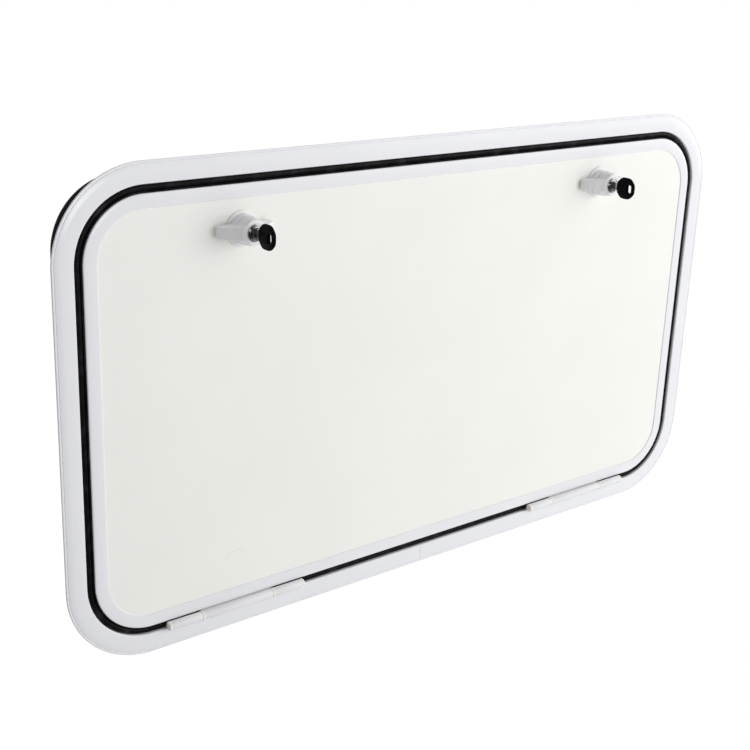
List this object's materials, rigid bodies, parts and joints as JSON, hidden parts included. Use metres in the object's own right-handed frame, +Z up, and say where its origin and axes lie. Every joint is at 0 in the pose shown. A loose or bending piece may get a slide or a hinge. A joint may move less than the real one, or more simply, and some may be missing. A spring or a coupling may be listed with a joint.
{
  "type": "caravan access hatch",
  "caption": "Rounded exterior storage hatch for a caravan wall: flanged frame with a sandwich door hinged along the bottom, bulb seal, wing-handle locks with keys.",
  "frame": {"origin": "middle of the hatch on the plane of the wall's outer face, where the flange rests", "axes": "+X along the hatch to the right seen from outside, +Y into the wall, +Z up"},
  "size_m": [0.85, 0.1018, 0.48],
  "materials": {
    "frame_enamel": "white gloss powder coat on aluminium",
    "trim_enamel": "white gloss powder coat on aluminium",
    "clamp_black": "black moulded ring",
    "panel_gelcoat": "warm white gel-coated laminate",
    "core_foam": "rigid foam, closed in",
    "inner_laminate": "white laminate",
    "seal_rubber": "black bulb seal",
    "hinge_enamel": "white powder coat",
    "pin_steel": "plain steel",
    "hinge_nylon": "cream nylon",
    "lock_plastic": "white moulded plastic",
    "handle_plastic": "white moulded plastic",
    "zinc_steel": "zinc-plated steel",
    "cylinder_chrome": "chrome-plated",
    "plug_nickel": "nickel-plated",
    "key_nickel": "nickel-plated brass",
    "key_black": "black moulded plastic"
  },
  "bodies": {
    "frame": {"outer_frame": "frame_enamel", "clamp_ring": "clamp_black", "left_hinge_frame_leaf": "hinge_enamel", "left_hinge_pin": "pin_steel", "left_hinge_caps": "hinge_nylon", "left_hinge_washers": "hinge_nylon", "right_hinge_frame_leaf": "hinge_enamel", "right_hinge_pin": "pin_steel", "right_hinge_caps": "hinge_nylon", "right_hinge_washers": "hinge_nylon"},
    "door": {"door_trim": "trim_enamel", "outer_skin": "panel_gelcoat", "foam_core": "core_foam", "inner_skin": "inner_laminate", "door_seal": "seal_rubber", "left_hinge_door_leaf": "hinge_enamel", "left_lock_rosette": "lock_plastic", "left_lock_nut": "lock_plastic", "right_hinge_door_leaf": "hinge_enamel", "right_lock_rosette": "lock_plastic", "right_lock_nut": "lock_plastic"},
    "left_handle": {"left_handle": "handle_plastic", "left_spindle": "zinc_steel", "left_latch_tongue": "zinc_steel", "left_tongue_nut": "zinc_steel", "left_lock_cylinder": "cylinder_chrome"},
    "left_key": {"left_lock_plug": "plug_nickel", "left_key_blade": "key_nickel", "left_key_head": "key_black"},
    "right_handle": {"right_handle": "handle_plastic", "right_spindle": "zinc_steel", "right_latch_tongue": "zinc_steel", "right_tongue_nut": "zinc_steel", "right_lock_cylinder": "cylinder_chrome"},
    "right_key": {"right_lock_plug": "plug_nickel", "right_key_blade": "key_nickel", "right_key_head": "key_black"}
  },
  "joints": [
    {"name": "door_hinge", "type": "hinge", "parent": "frame", "child": "door", "pos_m": [0, -0.0064, -0.21525], "axis": [1, 0, 0], "range_deg": [0, 170]},
    {"name": "left_handle_turn", "type": "hinge", "parent": "door", "child": "left_handle", "pos_m": [-0.237, 0, 0.1697], "axis": [0, -1, 0], "range_deg": [0, 90]},
    {"name": "left_key_turn", "type": "hinge", "parent": "left_handle", "child": "left_key", "pos_m": [-0.237, 0, 0.1697], "axis": [0, -1, 0], "range_deg": [0, 90]},
    {"name": "right_handle_turn", "type": "hinge", "parent": "door", "child": "right_handle", "pos_m": [0.237, 0, 0.1697], "axis": [0, 1, 0], "range_deg": [0, 90]},
    {"name": "right_key_turn", "type": "hinge", "parent": "right_handle", "child": "right_key", "pos_m": [0.237, 0, 0.1697], "axis": [0, 1, 0], "range_deg": [0, 90]}
  ]
}
